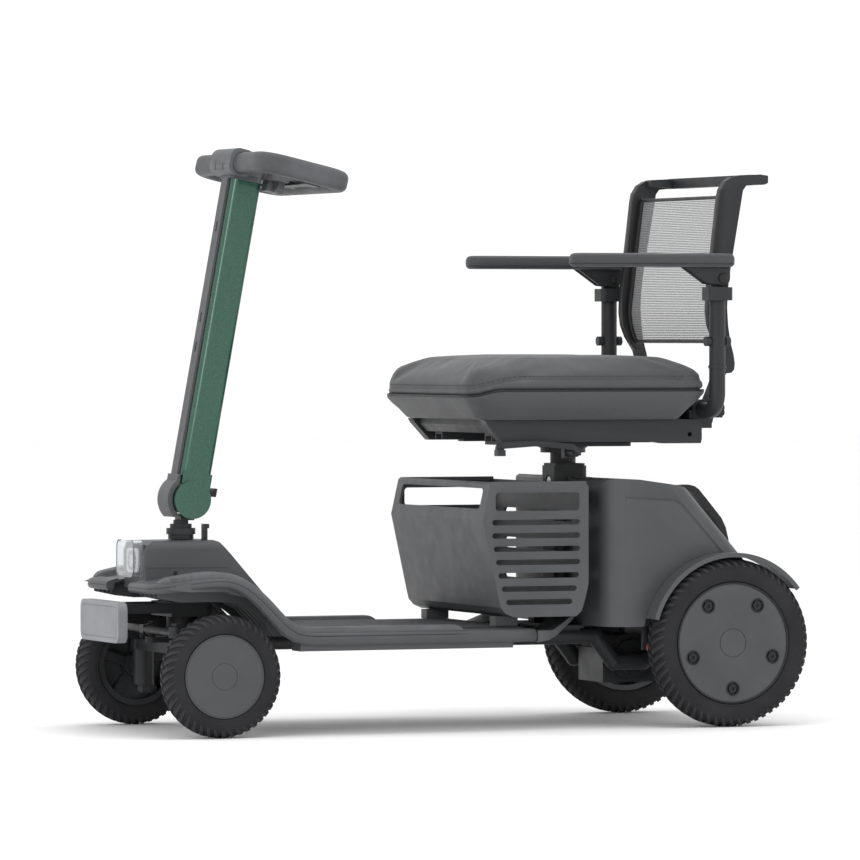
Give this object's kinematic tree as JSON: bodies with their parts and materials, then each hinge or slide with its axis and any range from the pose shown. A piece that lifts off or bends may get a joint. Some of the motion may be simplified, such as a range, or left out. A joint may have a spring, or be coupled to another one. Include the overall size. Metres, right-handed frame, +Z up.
{
  "type": "mobility scooter",
  "caption": "Four-wheeled mobility scooter with raked tiller and handlebar loop, swivel seat with flip-up armrests and mesh back, under-seat basket and flat foot deck.",
  "frame": {"origin": "centre of the footprint box, on the floor under the tyres", "axes": "-X is the front of the scooter, -Y is the rider's left, +Z is up"},
  "size_m": [1.168, 0.502, 0.9588],
  "materials": {
    "charcoal_plastic": "fine satin grain",
    "dark_steel": "satin powder coat",
    "green_paint": "gloss metallic",
    "satin_grey": "satin",
    "tyre_rubber": "matt, moulded tread",
    "mat_rubber": "soft matt",
    "clear_plastic": "clear",
    "white_plastic": "gloss",
    "seat_cover": "matt leatherette",
    "pad_foam": "matt moulded foam",
    "mesh_fabric": "open weave",
    "bare_steel": "brushed",
    "black_plastic": "matt",
    "button_plastic": "gloss",
    "red_plastic": "gloss"
  },
  "bodies": {
    "chassis": {"frame_left": "dark_steel", "frame_right": "dark_steel", "front_axle": "dark_steel", "deck_pan": "dark_steel", "deck_mat": "mat_rubber", "side_rail_left": "charcoal_plastic", "side_rail_right": "charcoal_plastic", "front_shroud": "charcoal_plastic", "headlight_body": "white_plastic", "headlight_lens": "clear_plastic", "front_bumper": "satin_grey", "basket": "charcoal_plastic", "seat_tower": "dark_steel", "rear_cover": "charcoal_plastic", "carry_handle": "charcoal_plastic", "battery_pack": "black_plastic", "rear_fender_left": "charcoal_plastic", "rear_fender_right": "charcoal_plastic", "transaxle": "dark_steel", "reflectors": "red_plastic"},
    "steering": {"steering_stem": "dark_steel"},
    "tiller": {"tiller_column": "green_paint", "tiller_cover": "charcoal_plastic", "handle_hub": "charcoal_plastic", "handle_loop": "mat_rubber", "console": "charcoal_plastic"},
    "drive_lever": {"drive_lever": "dark_steel"},
    "horn_button": {"horn_button": "button_plastic"},
    "speed_dial": {"speed_dial": "black_plastic"},
    "tilt_latch": {"tilt_latch": "black_plastic"},
    "base_latch": {"base_latch": "black_plastic"},
    "knuckle_left": {"knuckle_left": "dark_steel"},
    "knuckle_right": {"knuckle_right": "dark_steel"},
    "tie_rod": {"tie_rod": "bare_steel"},
    "front_wheel_left": {"front_tyre_left": "tyre_rubber", "front_rim_left": "dark_steel", "front_cap_left": "charcoal_plastic"},
    "front_wheel_right": {"front_tyre_right": "tyre_rubber", "front_rim_right": "dark_steel", "front_cap_right": "charcoal_plastic"},
    "rear_wheel_left": {"rear_tyre_left": "tyre_rubber", "rear_rim_left": "charcoal_plastic", "rear_bolts_left": "bare_steel"},
    "rear_wheel_right": {"rear_tyre_right": "tyre_rubber", "rear_rim_right": "charcoal_plastic", "rear_bolts_right": "bare_steel"},
    "seat_post": {"seat_post": "bare_steel"},
    "seat_swivel": {"swivel_base": "dark_steel"},
    "seat": {"seat_frame": "dark_steel", "seat_shell": "charcoal_plastic", "seat_cushion": "seat_cover"},
    "seat_lever": {"seat_lever": "dark_steel"},
    "armrest_left": {"arm_post_left": "dark_steel"},
    "armrest_right": {"arm_post_right": "dark_steel"},
    "arm_pad_left": {"arm_pad_left": "pad_foam"},
    "arm_pad_right": {"arm_pad_right": "pad_foam"},
    "arm_knob_left": {"arm_knob_left": "black_plastic"},
    "arm_knob_right": {"arm_knob_right": "black_plastic"},
    "backrest": {"backrest_frame": "dark_steel", "backrest_mesh": "mesh_fabric"}
  },
  "joints": [
    {"name": "steer", "type": "hinge", "parent": "chassis", "child": "steering", "pos_m": [-0.442, 0, 0.2], "axis": [0, 0, 1], "range_deg": [-35, 35]},
    {"name": "knuckle_left_turn", "type": "hinge", "parent": "chassis", "child": "knuckle_left", "pos_m": [-0.454, -0.15, 0.1], "axis": [0, 0, 1], "range_deg": [-35, 35]},
    {"name": "knuckle_right_turn", "type": "hinge", "parent": "chassis", "child": "knuckle_right", "pos_m": [-0.454, 0.15, 0.1], "axis": [0, 0, 1], "range_deg": [-35, 35]},
    {"name": "tie_rod_joint", "type": "hinge", "parent": "knuckle_left", "child": "tie_rod", "pos_m": [-0.505, -0.15, 0.169], "axis": [0, 0, 1], "range_deg": [-35, 35]},
    {"name": "front_wheel_left_spin", "type": "hinge", "parent": "knuckle_left", "child": "front_wheel_left", "pos_m": [-0.45, -0.211, 0.1], "axis": [0, 1, 0], "continuous": true},
    {"name": "front_wheel_right_spin", "type": "hinge", "parent": "knuckle_right", "child": "front_wheel_right", "pos_m": [-0.45, 0.211, 0.1], "axis": [0, 1, 0], "continuous": true},
    {"name": "rear_wheel_left_spin", "type": "hinge", "parent": "chassis", "child": "rear_wheel_left", "pos_m": [0.444, -0.223, 0.14], "axis": [0, 1, 0], "continuous": true},
    {"name": "rear_wheel_right_spin", "type": "hinge", "parent": "chassis", "child": "rear_wheel_right", "pos_m": [0.444, 0.223, 0.14], "axis": [0, 1, 0], "continuous": true},
    {"name": "tiller_tilt", "type": "hinge", "parent": "steering", "child": "tiller", "pos_m": [-0.433, 0, 0.381], "axis": [0, 1, 0], "range_deg": [-10, 15]},
    {"name": "drive_lever_turn", "type": "hinge", "parent": "tiller", "child": "drive_lever", "pos_m": [-0.25575, 0, 0.8993], "axis": [0.2283, 0, 0.9736], "range_deg": [-6, 6], "stiffness_Nm_per_rad": 0.8},
    {"name": "horn_press", "type": "slide", "parent": "tiller", "child": "horn_button", "axis": [-0.2283, 0, -0.9736], "range_m": [0, 0.002], "stiffness_N_per_m": 400},
    {"name": "speed_dial_turn", "type": "hinge", "parent": "tiller", "child": "speed_dial", "pos_m": [-0.25199, 0, 0.9241], "axis": [0.2283, 0, 0.9736], "range_deg": [-135, 135]},
    {"name": "tilt_latch_press", "type": "hinge", "parent": "tiller", "child": "tilt_latch", "pos_m": [-0.39698, 0, 0.39167], "axis": [0, 1, 0], "range_deg": [0, 14], "stiffness_Nm_per_rad": 0.6},
    {"name": "base_latch_pull", "type": "hinge", "parent": "chassis", "child": "base_latch", "pos_m": [-0.408, -0.02, 0.306], "axis": [0, 1, 0], "range_deg": [0, 10], "stiffness_Nm_per_rad": 0.6},
    {"name": "seat_height", "type": "slide", "parent": "chassis", "child": "seat_post", "axis": [0, 0, 1], "range_m": [0, 0.05]},
    {"name": "seat_turn", "type": "hinge", "parent": "seat_post", "child": "seat_swivel", "pos_m": [0.241, 0, 0.46], "axis": [0, 0, 1], "range_deg": [-90, 90]},
    {"name": "seat_slide", "type": "slide", "parent": "seat_swivel", "child": "seat", "axis": [1, 0, 0], "range_m": [-0.04, 0.04]},
    {"name": "seat_lever_lift", "type": "hinge", "parent": "seat_swivel", "child": "seat_lever", "pos_m": [0.19, -0.16, 0.457], "axis": [0, 1, 0], "range_deg": [0, 6], "stiffness_Nm_per_rad": 3},
    {"name": "armrest_left_width", "type": "slide", "parent": "seat", "child": "armrest_left", "axis": [0, -1, 0], "range_m": [0, 0.04]},
    {"name": "arm_pad_left_flip", "type": "hinge", "parent": "armrest_left", "child": "arm_pad_left", "pos_m": [0.429, -0.226, 0.746], "axis": [0, 1, 0], "range_deg": [0, 90]},
    {"name": "arm_knob_left_turn", "type": "hinge", "parent": "seat", "child": "arm_knob_left", "pos_m": [0.46, -0.146, 0.526], "axis": [1, 0, 0], "continuous": true},
    {"name": "armrest_right_width", "type": "slide", "parent": "seat", "child": "armrest_right", "axis": [0, 1, 0], "range_m": [0, 0.04]},
    {"name": "arm_pad_right_flip", "type": "hinge", "parent": "armrest_right", "child": "arm_pad_right", "pos_m": [0.429, 0.226, 0.746], "axis": [0, 1, 0], "range_deg": [0, 90]},
    {"name": "arm_knob_right_turn", "type": "hinge", "parent": "seat", "child": "arm_knob_right", "pos_m": [0.46, 0.146, 0.526], "axis": [1, 0, 0], "continuous": true},
    {"name": "backrest_fold", "type": "hinge", "parent": "seat", "child": "backrest", "pos_m": [0.462, 0, 0.6], "axis": [0, 1, 0], "range_deg": [-60, 0]}
  ],
  "couplings": [
    {"joint": "knuckle_left_turn", "follows": "steer", "ratio": 1},
    {"joint": "knuckle_right_turn", "follows": "steer", "ratio": 1},
    {"joint": "tie_rod_joint", "follows": "steer", "ratio": -1}
  ]
}
